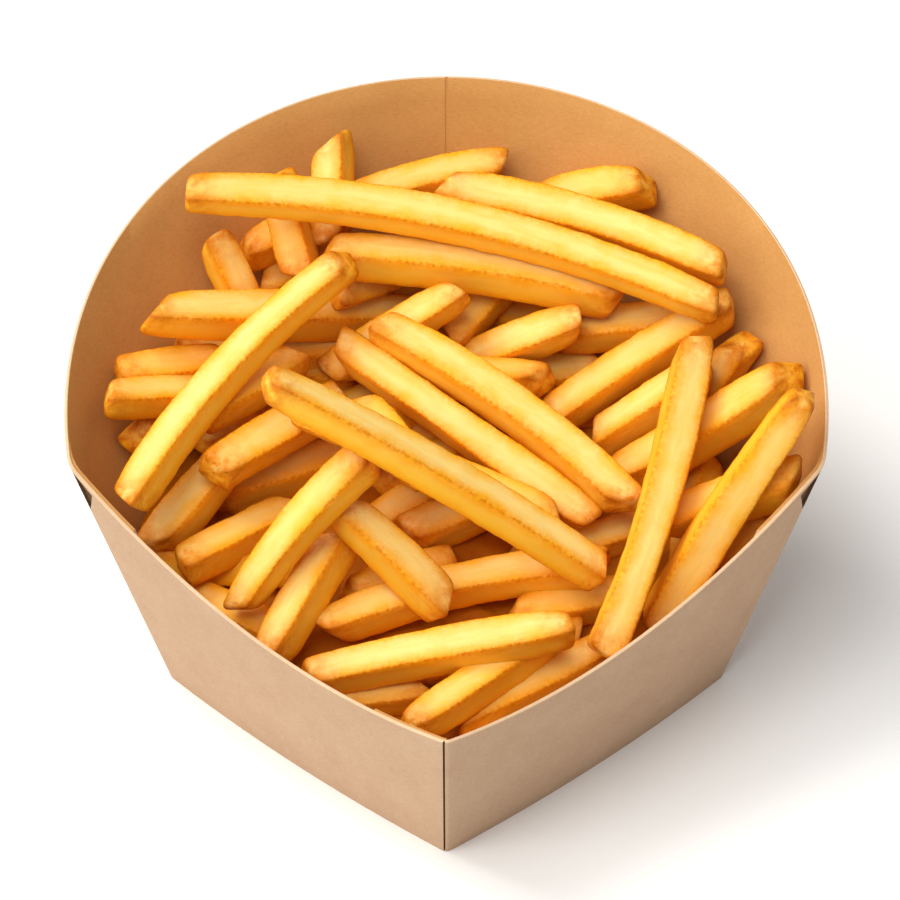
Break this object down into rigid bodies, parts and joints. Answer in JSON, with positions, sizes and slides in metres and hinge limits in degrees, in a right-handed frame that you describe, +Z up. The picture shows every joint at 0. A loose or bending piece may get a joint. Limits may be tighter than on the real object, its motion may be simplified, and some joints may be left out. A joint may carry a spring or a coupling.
{
  "type": "french fries in a carton",
  "caption": "Heap of golden french fries in an open folded kraft carton with two low front panels and a tall curved back wall.",
  "frame": {"origin": "centre of the underside of the carton's diamond base", "axes": "+Z up, -Y towards the low front corner where the two front panels meet, +X to the right as seen from the front"},
  "size_m": [0.1474, 0.1471, 0.0871],
  "materials": {
    "kraft_board": "matte uncoated kraft board",
    "fried_potato": "fried potato, golden with browned edges, slight sheen of oil"
  },
  "bodies": {
    "root": {"carton": "kraft_board", "fries": "fried_potato"}
  },
  "joints": []
}
